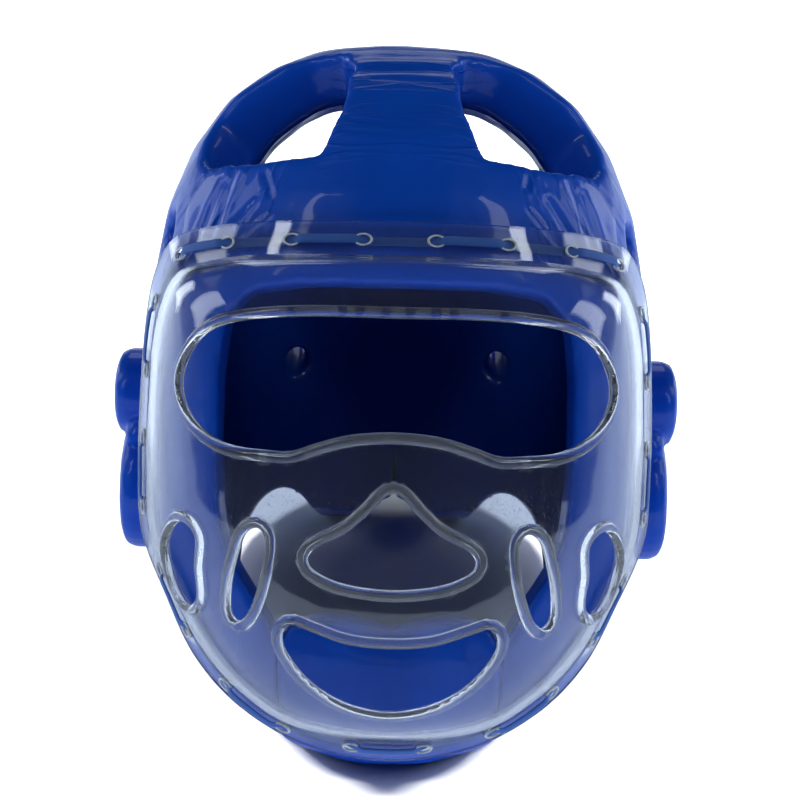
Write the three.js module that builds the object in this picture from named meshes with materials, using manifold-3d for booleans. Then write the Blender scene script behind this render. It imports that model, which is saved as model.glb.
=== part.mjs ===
// A padded head guard for sparring with a clear face shield laced on, in millimetres.
// It is modelled upright, as worn: +X to the right seen from the front, +Y to the back of the head, +Z up,
// with the ear line at y = 0 and the eyes at about z = 0. The whole guard is then leaned back until it stands
// on the floor on its chin and on the lobes of its nape, as it does by itself.

import * as THREE from "three";
import { mergeVertices } from "three/addons/utils/BufferGeometryUtils.js";
import ManifoldModule from "manifold-3d";

const wasm = await ManifoldModule();
wasm.setup();

// Foam shell
const shellWidth = 214;
const shellFront = 110;
const shellBack = 125;
const crownHeight = 151;
const chinDrop = 147;
const foamWall = 26;
const crownWall = 21;
const roundness = 2.3;
const shellSides = 44;
const cavitySides = 32;

// Straps and openings of the crown
const centreStrapWidth = 42;
const crossStrapFront = 38;
const crossStrapBack = 22;
const crownCentreHeight = 28;

// Face opening
const faceWidth = 140;
const browHeight = 44;
const jawDrop = 88;
const chinPadWidth = 86;
const chinPadWaveRoom = 18;

// How it stands, and the rim round the neck
const restLean = THREE.MathUtils.degToRad(28);
const floorDrop = 102;
const sideArchHeight = 14;
const sideArchFront = 92;
const sideArchBack = 70;
const napeSlope = 16;
const napeInside = 30;
const napeEdge = 58;
const napeNotchTop = 46;
const napeNotchWidth = 26;
const napeGapTop = 42;
const napeGapStart = 36;
const napeGapEnd = 68;
const napeSlitWidth = 3;
const napeSlitHeight = 35;

// Ears, vents of the shell and the closing strap
const earHoleHeight = 28;
const earHoleDepth = 20;
const earPadReach = 13.5;
const earPadRounding = 5;
const earPadLength = 87;
const earPadDepth = 64;
const earPadPlace = 12;
const earPadTop = 20;
const templeVentWidth = 20;
const templeVentHeight = 17;
const templeVentPlace = 38;
const templeVentRise = 67;
const backVentWidth = 11;
const backVentSpacing = 96;
const backVentDrop = 25;
const strapLength = 96;
const strapHeight = 36;
const strapThickness = 3;
const strapDrop = 28;

// Face shield
const shieldThickness = 2.4;
const shieldReach = 150;
const shieldBellyDrop = 25;
const shieldFullness = 2.5;
const shieldSteps = 52;
const rimWidth = 4;
const rimHeight = 1.5;

// Openings of the shield, as seen from the front
const eyeWidth = 161;
const eyeHeight = 50;
const eyeMiddle = 5;
const noseVentWidth = 62;
const noseVentHeight = 36;
const noseVentMiddle = -52;
const mouthVentWidth = 80;
const mouthVentHeight = 33;
const mouthVentMiddle = -100;
const slotVentLength = 36;
const slotVentWidth = 10;
const slotVentPlace = 53;
const slotVentDrop = 66;
const beanVentLength = 33;
const beanVentWidth = 13;
const beanVentPlace = 78;
const beanVentDrop = 64;

// Lace
const laceWidth = 3.2;
const laceThickness = 1.1;
const laceGap = 0.55;
const laceHoles = 26;
const laceHoleLength = 6.5;
const laceHoleHeight = 4.4;

const fitGap = 0.3;
const lacingRoom = laceThickness + 2 * laceGap;
const farAway = 400;
const bendSamples = 400;

const halfShell = shellWidth / 2;
const halfCavity = halfShell - foamWall;

// Rows of the shell from the crown down, as shares: height of the crown height, or of the chin drop below
// the eyes, width of half the shell's width, front and back of the reach to the front and to the back, and
// middle, of the front reach, is how far in front of the ear line the row is widest.
const crownRows = [
  { height: 0.996, width: 0.2, front: 0.17, back: 0.19, middle: 0 },
  { height: 0.971, width: 0.39, front: 0.345, back: 0.4, middle: 0 },
  { height: 0.921, width: 0.545, front: 0.51, back: 0.56, middle: 0 },
  { height: 0.83, width: 0.708, front: 0.673, back: 0.72, middle: 0 },
  { height: 0.697, width: 0.836, front: 0.818, back: 0.848, middle: 0 },
  { height: 0.526, width: 0.93, front: 0.927, back: 0.944, middle: 0 },
  { height: 0.355, width: 0.972, front: 0.986, back: 0.992, middle: 0 },
  { height: 0.16, width: 0.992, front: 1, back: 1, middle: 0 },
];
const jawRows = [
  { height: -0.04, width: 1, front: 1, back: 0.992, middle: 0 },
  { height: -0.24, width: 1, front: 1, back: 0.965, middle: 0 },
  { height: -0.376, width: 0.977, front: 0.99, back: 0.93, middle: 0.05 },
  { height: -0.47, width: 0.92, front: 0.972, back: 0.88, middle: 0.14 },
  { height: -0.57, width: 0.85, front: 0.945, back: 0.8, middle: 0.25 },
  { height: -0.691, width: 0.767, front: 0.918, back: 0.68, middle: 0.36 },
  { height: -0.775, width: 0.68, front: 0.89, back: 0.56, middle: 0.43 },
  { height: -0.859, width: 0.553, front: 0.855, back: 0.3, middle: 0.49 },
  { height: -0.94, width: 0.364, front: 0.764, back: 0, middle: 0.53 },
  { height: -0.987, width: 0.168, front: 0.65, back: -0.3, middle: 0.55 },
];

// Rows of the hollow below the eyes, as shares of the same lengths less the foam's wall. The front row by row
// runs back under the chin, so that the chin pad is a cup, and the hollow goes on down through the neck.
const neckRows = [
  { height: -0.04, width: 1, front: 1, back: 0.99, middle: 0 },
  { height: -0.376, width: 0.985, front: 0.99, back: 0.94, middle: 0 },
  { height: -0.47, width: 0.9, front: 0.97, back: 0.93, middle: 0.05 },
  { height: -0.57, width: 0.81, front: 0.93, back: 0.93, middle: 0.12 },
  { height: -0.691, width: 0.71, front: 0.88, back: 0.93, middle: 0.2 },
  { height: -0.775, width: 0.62, front: 0.77, back: 0.93, middle: 0.2 },
  { height: -0.85, width: 0.54, front: 0.6, back: 0.93, middle: 0.15 },
  { height: -0.92, width: 0.49, front: 0.4, back: 0.93, middle: 0.1 },
  { height: -1.2, width: 0.4, front: 0, back: 0.93, middle: 0 },
];

// Outline of a crown opening: across, from the edge of the centre strap to the shell's side; along, from the
// edge of the cross strap to the front or to the back; up, of the crown height.
const crownOpeningOutline = [
  { across: 0.135, along: 0.73, up: 0.637 },
  { across: 0.46, along: 0.57, up: 0.62 },
  { across: 0.66, along: 0.3, up: 0.614 },
  { across: 0.705, along: 0.17, up: 0.64 },
  { across: 0.69, along: 0.08, up: 0.7 },
  { across: 0.65, along: 0.0, up: 0.768 },
  { across: 0.51, along: 0.0, up: 0.851 },
  { across: 0.235, along: 0.0, up: 0.94 },
  { across: 0.05, along: 0.07, up: 0.945 },
  { across: 0.0, along: 0.22, up: 0.908 },
  { across: 0.035, along: 0.53, up: 0.78 },
];

// Right half of the face opening from the middle of the brow to the dip of the chin pad: across of half the
// face width, up of the brow height, or of the jaw drop below the eyes.
const faceOutline = [
  { across: 0, up: 1.0 },
  { across: 0.5, up: 1.0 },
  { across: 0.82, up: 0.94 },
  { across: 0.96, up: 0.7 },
  { across: 1.0, up: 0.2 },
  { across: 1.0, up: -0.3 },
  { across: 0.97, up: -0.58 },
  { across: 0.89, up: -0.75 },
  { across: 0.78, up: -0.88 },
  { across: 0.65, up: -1.04 },
  { across: 0.6, up: -1.1 },
  { across: 0.55, up: -1.02 },
  { across: 0.45, up: -0.985 },
  { across: 0.34, up: -0.975 },
  { across: 0.2, up: -0.985 },
  { across: 0, up: -1.03 },
];

// Where the shield lies on the foam, from the middle of the forehead round the side to the chin. A turn is
// the angle round the shell's row from its front. The edge is the flange's outer edge, the bend is where the
// dome leaves the foam, and heights are shares of the crown height, or of the chin drop below the eyes.
const shieldSeat = [
  { edgeTurn: 0, edgeHeight: 0.447, bendTurn: 0, bendHeight: 0.35 },
  { edgeTurn: 24, edgeHeight: 0.444, bendTurn: 24, bendHeight: 0.347 },
  { edgeTurn: 42, edgeHeight: 0.434, bendTurn: 40, bendHeight: 0.335 },
  { edgeTurn: 56, edgeHeight: 0.41, bendTurn: 51, bendHeight: 0.31 },
  { edgeTurn: 65, edgeHeight: 0.33, bendTurn: 57, bendHeight: 0.24 },
  { edgeTurn: 69, edgeHeight: 0.19, bendTurn: 60, bendHeight: 0.13 },
  { edgeTurn: 70, edgeHeight: 0, bendTurn: 61, bendHeight: -0.02 },
  { edgeTurn: 70, edgeHeight: -0.2, bendTurn: 61, bendHeight: -0.2 },
  { edgeTurn: 70, edgeHeight: -0.376, bendTurn: 61, bendHeight: -0.37 },
  { edgeTurn: 69, edgeHeight: -0.55, bendTurn: 59, bendHeight: -0.525 },
  { edgeTurn: 65, edgeHeight: -0.7, bendTurn: 55, bendHeight: -0.66 },
  { edgeTurn: 57, edgeHeight: -0.82, bendTurn: 46, bendHeight: -0.77 },
  { edgeTurn: 38, edgeHeight: -0.91, bendTurn: 31, bendHeight: -0.85 },
  { edgeTurn: 0, edgeHeight: -0.945, bendTurn: 0, bendHeight: -0.88 },
];

// How far forward each ring of the dome lies, from the bend at 0 to the middle at 1.
const domeRings = [0.45, 0.69, 0.84, 0.93, 0.985];

// The two lobes of an ear pad and the waist between them: half their depth and height as shares of the pad's
// depth and length, and how far they stand out, of the pad's reach.
const earPadLobes = {
  upper: { deep: 0.45, tall: 0.22, reach: 1 },
  waist: { deep: 0.42, tall: 0.17, reach: 0.62 },
  lower: { deep: 0.5, tall: 0.32, reach: 0.72 },
};

// Half outlines of the shield's openings from top middle to bottom middle, as shares of half the width and of
// half the height.
const eyeOutline = [
  { across: 0, up: 1.0 },
  { across: 0.4, up: 1.0 },
  { across: 0.7, up: 0.93 },
  { across: 0.86, up: 0.78 },
  { across: 0.95, up: 0.5 },
  { across: 1.0, up: 0.08 },
  { across: 0.98, up: -0.32 },
  { across: 0.9, up: -0.68 },
  { across: 0.76, up: -0.93 },
  { across: 0.58, up: -1.0 },
  { across: 0.47, up: -1.0 },
  { across: 0.36, up: -0.88 },
  { across: 0.2, up: -0.74 },
  { across: 0, up: -0.69 },
];
const noseVentOutline = [
  { across: 0, up: 1.0 },
  { across: 0.12, up: 0.9 },
  { across: 0.3, up: 0.56 },
  { across: 0.55, up: 0.18 },
  { across: 0.92, up: -0.16 },
  { across: 1.0, up: -0.42 },
  { across: 0.9, up: -0.66 },
  { across: 0.55, up: -0.9 },
  { across: 0, up: -1.0 },
];
const mouthVentOutline = [
  { across: 0, up: 0.52 },
  { across: 0.4, up: 0.6 },
  { across: 0.75, up: 0.88 },
  { across: 0.92, up: 1.0 },
  { across: 1.0, up: 0.72 },
  { across: 0.93, up: 0.25 },
  { across: 0.72, up: -0.35 },
  { across: 0.4, up: -0.82 },
  { across: 0, up: -1.0 },
];

// Whole outlines of the two vents on the +X side, as shares of half the length and of half the width.
const slotVentOutline = [
  { across: -0.6, up: 1.0 },
  { across: 0.25, up: 0.85 },
  { across: 0.8, up: 0.4 },
  { across: 1.25, up: -0.2 },
  { across: 1.3, up: -0.75 },
  { across: 0.75, up: -1.0 },
  { across: 0.0, up: -0.85 },
  { across: -0.7, up: -0.35 },
  { across: -1.2, up: 0.3 },
  { across: -1.25, up: 0.8 },
];
const beanVentOutline = [
  { across: 0.15, up: 1.0 },
  { across: 0.8, up: 0.8 },
  { across: 1.15, up: 0.35 },
  { across: 0.95, up: -0.2 },
  { across: 0.45, up: -0.75 },
  { across: -0.3, up: -1.0 },
  { across: -0.75, up: -0.7 },
  { across: -0.6, up: 0 },
  { across: -0.65, up: 0.65 },
];

// Solids

function solidFromTriangles(points, triangles) {
  let volume = 0;
  for (let i = 0; i < triangles.length; i += 3) {
    const a = points[triangles[i]];
    const b = points[triangles[i + 1]];
    const c = points[triangles[i + 2]];
    volume += a.dot(new THREE.Vector3().crossVectors(b, c));
  }
  const faces = volume < 0 ? triangles.slice().reverse() : triangles;
  const vertProperties = new Float32Array(points.flatMap((point) => [point.x, point.y, point.z]));
  return new wasm.Manifold(new wasm.Mesh({ numProp: 3, vertProperties, triVerts: new Uint32Array(faces) }));
}

function solidFromGeometry(geometry) {
  const bare = geometry.index ? geometry.toNonIndexed() : geometry.clone();
  bare.deleteAttribute("normal");
  bare.deleteAttribute("uv");
  const merged = mergeVertices(bare, 1e-4);
  const place = merged.getAttribute("position");
  const points = [];
  for (let i = 0; i < place.count; i += 1) {
    points.push(new THREE.Vector3().fromBufferAttribute(place, i));
  }
  return solidFromTriangles(points, Array.from(merged.index.array));
}

// A solid through rings of as many points each, closed at each end by a fan round the end ring's middle.
function loftedSolid(rings) {
  const count = rings[0].length;
  const points = rings.flat();
  const triangles = [];
  for (let row = 0; row + 1 < rings.length; row += 1) {
    for (let i = 0; i < count; i += 1) {
      const here = row * count + i;
      const beside = row * count + ((i + 1) % count);
      triangles.push(here, beside, beside + count, here, beside + count, here + count);
    }
  }
  for (const [row, turned] of [[0, true], [rings.length - 1, false]]) {
    const middle = rings[row].reduce((sum, point) => sum.add(point), new THREE.Vector3()).divideScalar(count);
    const centre = points.push(middle) - 1;
    for (let i = 0; i < count; i += 1) {
      const here = row * count + i;
      const beside = row * count + ((i + 1) % count);
      triangles.push(...(turned ? [beside, here, centre] : [here, beside, centre]));
    }
  }
  return solidFromTriangles(points, triangles);
}

// A closed loop of small sections, as a rim or a lace has.
function loopedSolid(sections) {
  const count = sections[0].length;
  const points = sections.flat();
  const triangles = [];
  for (let s = 0; s < sections.length; s += 1) {
    const after = (s + 1) % sections.length;
    for (let i = 0; i < count; i += 1) {
      const j = (i + 1) % count;
      const here = s * count;
      const there = after * count;
      triangles.push(here + i, here + j, there + j, here + i, there + j, there + i);
    }
  }
  return solidFromTriangles(points, triangles);
}

function extruded(outline, depth) {
  const shape = new THREE.Shape(outline.map((point) => new THREE.Vector2(point[0], point[1])));
  return new THREE.ExtrudeGeometry(shape, { depth, bevelEnabled: false });
}

// A prism along Y whose outline is seen from the front.
function frontPrism(outline, front, back) {
  const geometry = extruded(outline, back - front);
  geometry.rotateX(Math.PI / 2);
  geometry.translate(0, back, 0);
  return solidFromGeometry(geometry);
}

// A prism along X whose outline is seen from the side: the first number is y, the second z.
function sidePrism(outline, left, right) {
  const geometry = extruded(outline, right - left);
  geometry.rotateX(Math.PI / 2);
  geometry.rotateZ(Math.PI / 2);
  geometry.translate(left, 0, 0);
  return solidFromGeometry(geometry);
}

function ellipseOutline(width, height, middle, rise, corners) {
  const outline = [];
  for (let i = 0; i < corners; i += 1) {
    const angle = (i / corners) * Math.PI * 2;
    outline.push([middle + (Math.cos(angle) * width) / 2, rise + (Math.sin(angle) * height) / 2]);
  }
  return outline;
}

// Turns a cutter drawn level with the floor into the frame in which the guard is modelled.
function levelWithFloor(solid) {
  return solid.rotate([THREE.MathUtils.radToDeg(restLean), 0, 0]);
}

// The shell's rows

function rowsInMillimetres(rows, halfWidth, front, back, rise, drop) {
  return rows.map((row) => ({
    height: row.height * (row.height > 0 ? rise : drop),
    halfWidth: row.width * halfWidth,
    front: row.front * front,
    back: row.back * back,
    middle: row.middle * front,
  }));
}

function grownRows(growth) {
  return rowsInMillimetres(
    [...crownRows, ...jawRows],
    halfShell + growth,
    shellFront + growth,
    shellBack + growth,
    crownHeight + growth,
    chinDrop + growth,
  );
}

const outerRows = grownRows(0);
const cavityRows = rowsInMillimetres(
  [...crownRows, ...neckRows],
  halfCavity,
  shellFront - foamWall,
  shellBack - foamWall,
  crownHeight - crownWall,
  chinDrop,
);

function softPower(value) {
  return Math.sign(value) * Math.abs(value) ** (2 / roundness);
}

function rowPoint(row, turn) {
  const forward = softPower(Math.cos(turn));
  const reach = forward > 0 ? row.front - row.middle : row.back + row.middle;
  return new THREE.Vector3(row.halfWidth * softPower(Math.sin(turn)), -row.middle - reach * forward, row.height);
}

function rowRing(row, sides) {
  return Array.from({ length: sides }, (_, i) => rowPoint(row, (i / sides) * Math.PI * 2));
}

function rowAt(rows, height) {
  const clamped = Math.min(Math.max(height, rows[rows.length - 1].height), rows[0].height);
  const below = Math.max(rows.findIndex((row) => row.height <= clamped), 1);
  const upper = rows[below - 1];
  const lower = rows[below];
  const share = (upper.height - clamped) / (upper.height - lower.height);
  const mixed = {};
  for (const key of Object.keys(upper)) {
    mixed[key] = upper[key] + (lower[key] - upper[key]) * share;
  }
  return mixed;
}

// A point on the shell's outside and the direction straight out from the foam there.
function shellSpot(turn, height) {
  const rise = 3;
  const swing = 0.04;
  const point = rowPoint(rowAt(outerRows, height), turn);
  const ahead = rowPoint(rowAt(outerRows, height), turn + swing);
  const behind = rowPoint(rowAt(outerRows, height), turn - swing);
  const above = rowPoint(rowAt(outerRows, height + rise), turn);
  const under = rowPoint(rowAt(outerRows, height - rise), turn);
  const out = new THREE.Vector3().crossVectors(ahead.sub(behind), above.sub(under)).normalize();
  return { point, out };
}

// Foam body

function crownOpening(side, end) {
  const strapEdge = end < 0 ? crossStrapFront : crossStrapBack;
  const reach = (end < 0 ? shellFront : shellBack) - strapEdge;
  const centre = new THREE.Vector3(0, 0, crownCentreHeight);
  const rays = crownOpeningOutline.map((row) => {
    const x = side * (centreStrapWidth / 2 + row.across * (halfShell - centreStrapWidth / 2));
    const y = end * (strapEdge + row.along * reach);
    return new THREE.Vector3(x, y, row.up * crownHeight).sub(centre);
  });
  const deepInside = 0.35;
  const wellOutside = 1.6;
  const near = rays.map((ray) => centre.clone().addScaledVector(ray, deepInside));
  const far = rays.map((ray) => centre.clone().addScaledVector(ray, wellOutside));
  return loftedSolid([near, far]);
}

function faceOpening() {
  const half = faceOutline.map((row) => [
    (row.across * faceWidth) / 2,
    row.up * (row.up > 0 ? browHeight : jawDrop),
  ]);
  return frontPrism(mirrored(half), -farAway, -crossStrapFront);
}

function mirrored(half) {
  const other = half.slice(1, -1).reverse().map(([x, z]) => [-x, z]);
  return [...half, ...other];
}

function floorCutter() {
  const slab = new THREE.BoxGeometry(2 * farAway, 2 * farAway, farAway);
  slab.translate(0, 0, -floorDrop - farAway / 2);
  return levelWithFloor(solidFromGeometry(slab));
}

// The hollow under each side wall, drawn from the side above the floor. It ends in the slope under the nape.
function sideArch() {
  const outline = [
    [-sideArchFront, -floorDrop - sideArchHeight],
    [-sideArchFront, -floorDrop],
    [-sideArchFront + sideArchHeight, -floorDrop + sideArchHeight],
    [sideArchBack - napeSlope, -floorDrop + sideArchHeight],
    [sideArchBack, -floorDrop],
    [sideArchBack, -floorDrop - sideArchHeight],
  ];
  return levelWithFloor(sidePrism(outline, -farAway, farAway));
}

// A scallop between the lobes of the nape, drawn from behind as far below the eyes as its top is.
function napeScallop(start, end, top) {
  const outline = [[start, -farAway]];
  const steps = 8;
  for (let i = 0; i <= steps; i += 1) {
    const share = i / steps;
    outline.push([start + (end - start) * share, -napeEdge + (napeEdge - top) * Math.sin(Math.PI * share) ** 0.7]);
  }
  outline.push([end, -farAway]);
  return frontPrism(outline, napeInside, farAway);
}

function napeSlit() {
  const slit = new THREE.BoxGeometry(napeSlitWidth, farAway, napeSlitHeight);
  slit.translate(0, farAway / 2 + napeInside, -floorDrop + napeSlitHeight / 2);
  return levelWithFloor(solidFromGeometry(slit));
}

function shellGrownBy(growth) {
  return loftedSolid(grownRows(growth).map((row) => rowRing(row, shellSides)));
}

function foamBody() {
  let body = shellGrownBy(0);
  body = body.subtract(loftedSolid(cavityRows.map((row) => rowRing(row, cavitySides))));
  body = body.subtract(faceOpening());
  for (const side of [-1, 1]) {
    for (const end of [-1, 1]) {
      body = body.subtract(crownOpening(side, end));
    }
  }
  body = body.subtract(floorCutter());
  body = body.subtract(sideArch());
  body = body.subtract(napeScallop(-napeNotchWidth / 2, napeNotchWidth / 2, napeNotchTop));
  body = body.subtract(napeScallop(napeGapStart, napeGapEnd, napeGapTop));
  body = body.subtract(napeScallop(-napeGapEnd, -napeGapStart, napeGapTop));
  body = body.subtract(napeSlit());
  body = body.subtract(earHoles());
  body = body.subtract(templeVents());
  return body.subtract(backVents());
}

function earMiddle() {
  return earPadTop - earPadLength / 2;
}

function earHoles() {
  const outline = ellipseOutline(earHoleDepth, earHoleHeight, earPadPlace, earMiddle(), 14);
  return sidePrism(outline, -farAway, farAway);
}

function templeVents() {
  const outline = ellipseOutline(templeVentWidth, templeVentHeight, -templeVentPlace, templeVentRise, 12);
  return sidePrism(outline, -farAway, farAway);
}

// The back vents run level with the floor.
function backVents() {
  const [left, right] = [-1, 1].map((side) => {
    const outline = ellipseOutline(backVentWidth, backVentWidth, (side * backVentSpacing) / 2, -backVentDrop, 8);
    return frontPrism(outline, napeInside, farAway);
  });
  return levelWithFloor(left.add(right));
}

// The block of space that the chin pad takes out of the jaw.
function chinBlock(clearance) {
  const halfBlock = chinPadWidth / 2 - clearance;
  const top = -jawDrop + chinPadWaveRoom;
  const outline = [
    [-halfBlock, top],
    [halfBlock, top],
    [halfBlock, -farAway],
    [-halfBlock, -farAway],
  ];
  return frontPrism(outline, -farAway, 0);
}

function earPad(side) {
  const upper = earPadLobes.upper.tall * earPadLength;
  const lower = earPadLobes.lower.tall * earPadLength;
  const lobes = [
    { ...earPadLobes.upper, tall: upper, rise: earPadTop - upper },
    { ...earPadLobes.waist, tall: earPadLobes.waist.tall * earPadLength, rise: earPadTop - 2 * upper },
    { ...earPadLobes.lower, tall: lower, rise: earPadTop - earPadLength + lower },
  ];
  let pad = null;
  for (const lobe of lobes) {
    const shape = new THREE.Shape();
    shape.absellipse(0, 0, lobe.tall - earPadRounding, lobe.deep * earPadDepth - earPadRounding, 0, Math.PI * 2);
    const geometry = new THREE.ExtrudeGeometry(shape, {
      depth: farAway,
      curveSegments: 16,
      bevelSize: earPadRounding,
      bevelThickness: earPadRounding,
      bevelSegments: 2,
    });
    geometry.rotateY(Math.PI / 2);
    geometry.translate(halfShell + lobe.reach * earPadReach - farAway - earPadRounding, earPadPlace, lobe.rise);
    const disc = solidFromGeometry(geometry);
    pad = pad ? pad.add(disc) : disc;
  }
  const withoutBack = new THREE.BoxGeometry(4 * farAway, 4 * farAway, 4 * farAway);
  withoutBack.translate(halfCavity + foamWall / 2 - 2 * farAway, 0, 0);
  pad = pad.subtract(solidFromGeometry(withoutBack));
  pad = pad.subtract(shellGrownBy(fitGap));
  pad = pad.subtract(earHoles());
  return side > 0 ? pad : pad.mirror([1, 0, 0]);
}

function rearStrap() {
  const outer = shellGrownBy(fitGap + strapThickness);
  const inner = shellGrownBy(fitGap);
  const block = new THREE.BoxGeometry(strapLength, shellBack, strapHeight);
  block.translate(0, shellBack, -strapDrop);
  return solidFromGeometry(block).intersect(outer).subtract(inner);
}

// Face shield

// The lines of the flange all round: its edge, its lacing line and its bend.
function seatCurves() {
  const half = shieldSeat.map((row) => ({
    turns: [row.edgeTurn, (row.edgeTurn + row.bendTurn) / 2, row.bendTurn],
    heights: [row.edgeHeight, (row.edgeHeight + row.bendHeight) / 2, row.bendHeight],
    side: 1,
  }));
  const other = half.slice(1, -1).reverse().map((row) => ({ ...row, side: -1 }));
  const stations = [...half, ...other];
  return [0, 1, 2].map((line) => {
    const points = stations.map((station) => {
      const share = station.heights[line];
      const height = share * (share > 0 ? crownHeight : chinDrop);
      const spot = shellSpot(station.side * THREE.MathUtils.degToRad(station.turns[line]), height);
      return spot.point.addScaledVector(spot.out, lacingRoom);
    });
    return new THREE.CatmullRomCurve3(points, true, "catmullrom", 0.5);
  });
}

const [edgeCurve, lacingCurve, bendCurve] = seatCurves();

// Spots along the lacing line: its place on the flange's inner face and the directions along, out and across.
function lacingSpot(share) {
  const wrapped = ((share % 1) + 1) % 1;
  const point = lacingCurve.getPointAt(wrapped);
  const along = lacingCurve.getTangentAt(wrapped);
  const t = lacingCurve.getUtoTmapping(wrapped);
  const across = bendCurve.getPoint(t).sub(edgeCurve.getPoint(t));
  const out = new THREE.Vector3().crossVectors(across, along).normalize();
  if (out.y > 0 && Math.abs(out.y) > Math.abs(out.x)) {
    out.negate();
  }
  return { point, along, out, across: new THREE.Vector3().crossVectors(along, out).normalize(), t };
}

const bellyCentre = new THREE.Vector3(0, 0, -shieldBellyDrop);

// The dome rises from its bend to its middle as a superellipse does: the further forward, the nearer the middle.
function domeCurve(share) {
  return (1 - share ** shieldFullness) ** (1 / shieldFullness);
}

function domePoint(bend, forward, reach) {
  const radial = domeCurve(forward);
  const x = bend.x * radial;
  const y = bend.y + (-reach - bend.y) * forward;
  const z = bellyCentre.z + (bend.z - bellyCentre.z) * radial;
  return new THREE.Vector3(x, y, z);
}

function shieldRings(outside) {
  const rings = [[], [], [], ...domeRings.map(() => [])];
  const grown = outside ? shieldThickness : 0;
  const reach = shieldReach - shieldThickness + grown;
  for (let i = 0; i < shieldSteps; i += 1) {
    const spot = lacingSpot(i / shieldSteps);
    const edge = edgeCurve.getPoint(spot.t);
    const bend = bendCurve.getPoint(spot.t);
    const radial = new THREE.Vector3(bend.x, 0, bend.z - bellyCentre.z).normalize();
    edge.addScaledVector(spot.out, grown);
    bend.addScaledVector(radial, grown).add(new THREE.Vector3(0, spot.out.y * grown, 0));
    rings[0].push(edge);
    rings[1].push(spot.point.addScaledVector(spot.out, grown));
    rings[2].push(bend);
    domeRings.forEach((forward, ring) => rings[3 + ring].push(domePoint(bend, forward, reach)));
  }
  return rings;
}

// The depth of the dome's outer face at a place seen from the front.
function domeDepthAt(x, z) {
  const direction = new THREE.Vector2(x, z - bellyCentre.z);
  let nearest = { alignment: -2 };
  for (let i = 0; i < bendSamples; i += 1) {
    const bend = bendCurve.getPoint(i / bendSamples);
    const ray = new THREE.Vector2(bend.x, bend.z - bellyCentre.z);
    const alignment = ray.dot(direction) / ray.length();
    if (alignment > nearest.alignment) {
      nearest = { alignment, bend, full: ray.length() + shieldThickness };
    }
  }
  const radial = Math.min(direction.length() / nearest.full, 0.999);
  return nearest.bend.y + (-shieldReach - nearest.bend.y) * domeCurve(radial);
}

function smoothOutline(outline, corners) {
  const curve = new THREE.CatmullRomCurve3(
    outline.map(([x, z]) => new THREE.Vector3(x, 0, z)),
    true,
    "centripetal",
  );
  return curve.getSpacedPoints(corners).slice(0, -1).map((point) => [point.x, point.z]);
}

function halfOutlineInPlace(rows, width, height, rise) {
  return mirrored(rows.map((row) => [(row.across * width) / 2, rise + (row.up * height) / 2]));
}

function ventOutline(rows, width, length, place, rise, side) {
  return rows.map((row) => [side * (place + (row.across * width) / 2), rise + (row.up * length) / 2]);
}

function shieldOpenings() {
  const openings = [
    smoothOutline(halfOutlineInPlace(eyeOutline, eyeWidth, eyeHeight, eyeMiddle), 36),
    smoothOutline(halfOutlineInPlace(noseVentOutline, noseVentWidth, noseVentHeight, noseVentMiddle), 20),
    smoothOutline(halfOutlineInPlace(mouthVentOutline, mouthVentWidth, mouthVentHeight, mouthVentMiddle), 20),
  ];
  for (const side of [-1, 1]) {
    openings.push(smoothOutline(
      ventOutline(slotVentOutline, slotVentWidth, slotVentLength, slotVentPlace, -slotVentDrop, side), 12));
    openings.push(smoothOutline(
      ventOutline(beanVentOutline, beanVentWidth, beanVentLength, beanVentPlace, -beanVentDrop, side), 12));
  }
  return openings;
}

// The raised rim round an opening: its section stands on the dome from the opening's edge outwards.
function openingRim(outline) {
  const count = outline.length;
  let area = 0;
  outline.forEach(([x, z], i) => {
    const [nextX, nextZ] = outline[(i + 1) % count];
    area += x * nextZ - nextX * z;
  });
  const outwards = Math.sign(area);
  const sections = outline.map(([x, z], i) => {
    const [beforeX, beforeZ] = outline[(i + count - 1) % count];
    const [afterX, afterZ] = outline[(i + 1) % count];
    const length = Math.hypot(afterX - beforeX, afterZ - beforeZ);
    const outX = (outwards * (afterZ - beforeZ)) / length;
    const outZ = (-outwards * (afterX - beforeX)) / length;
    return [
      [0, shieldThickness],
      [0, -rimHeight],
      [rimWidth * 0.6, -rimHeight],
      [rimWidth, shieldThickness * 0.4],
    ].map(([away, behind]) => {
      const spotX = x + outX * away;
      const spotZ = z + outZ * away;
      return new THREE.Vector3(spotX, domeDepthAt(spotX, spotZ) + behind, spotZ);
    });
  });
  return loopedSolid(sections);
}

function lacingHole(share) {
  const spot = lacingSpot(share);
  const box = new THREE.BoxGeometry(laceHoleLength, laceHoleHeight, 4 * shieldThickness);
  box.applyMatrix4(new THREE.Matrix4().makeBasis(spot.along, spot.across.clone().negate(), spot.out));
  const middle = spot.point.addScaledVector(spot.out, shieldThickness / 2);
  box.translate(middle.x, middle.y, middle.z);
  return solidFromGeometry(box);
}

function faceShield() {
  const outside = shieldRings(true);
  const inside = shieldRings(false);
  let shield = loftedSolid([...outside.slice().reverse(), ...inside]);
  const openings = shieldOpenings();
  for (const outline of openings) {
    shield = shield.add(openingRim(outline));
  }
  for (const outline of openings) {
    shield = shield.subtract(frontPrism(outline, -farAway, -shellFront / 4));
  }
  for (let hole = 0; hole < laceHoles; hole += 1) {
    shield = shield.subtract(lacingHole((hole + 0.5) / laceHoles));
  }
  return shield;
}

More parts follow.
